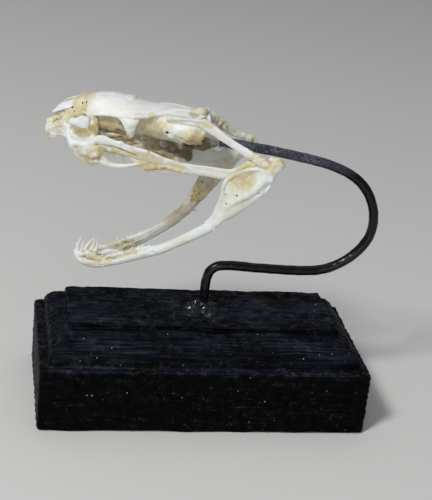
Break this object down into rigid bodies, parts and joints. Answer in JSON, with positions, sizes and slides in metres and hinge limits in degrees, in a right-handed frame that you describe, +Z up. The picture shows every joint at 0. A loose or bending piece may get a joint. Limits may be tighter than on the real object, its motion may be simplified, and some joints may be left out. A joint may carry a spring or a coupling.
{
  "type": "snake skull on stand",
  "caption": "Dry skull of a pit viper with open jaws and folded fangs, held by a bent black wire on a moulded black wooden block.",
  "frame": {"origin": "middle of the block's underside", "axes": "+X along the block, away from the snout, +Y away from the side that faces the camera, +Z up"},
  "size_m": [0.0784, 0.0382, 0.0724],
  "materials": {
    "bone": "dry ivory bone, faintly glossy",
    "bone_yellow": "yellowed bone with dried tissue",
    "tooth": "smooth tooth",
    "black_paint_wood": "brushed black paint, satin",
    "black_paint_wire": "black paint, glossy, worn"
  },
  "bodies": {
    "root": {"wood_base": "black_paint_wood", "wire_stand": "black_paint_wire", "braincase": "bone", "premaxilla": "bone", "nose_core": "bone_yellow", "nasal_left": "bone", "nasal_right": "bone", "prefrontal_left": "bone", "prefrontal_right": "bone", "postorbital_left": "bone", "postorbital_right": "bone", "maxilla_left": "bone", "maxilla_right": "bone", "fang_left": "tooth", "fang_right": "tooth", "ectopterygoid_left": "bone", "ectopterygoid_right": "bone", "palatine_left": "bone_yellow", "palatine_right": "bone_yellow", "pterygoid_left": "bone_yellow", "pterygoid_right": "bone_yellow", "supratemporal_left": "bone", "supratemporal_right": "bone", "quadrate_left": "bone", "quadrate_right": "bone", "jaw_compound_left": "bone", "jaw_compound_right": "bone", "dentary_left": "bone", "dentary_right": "bone"}
  },
  "joints": []
}
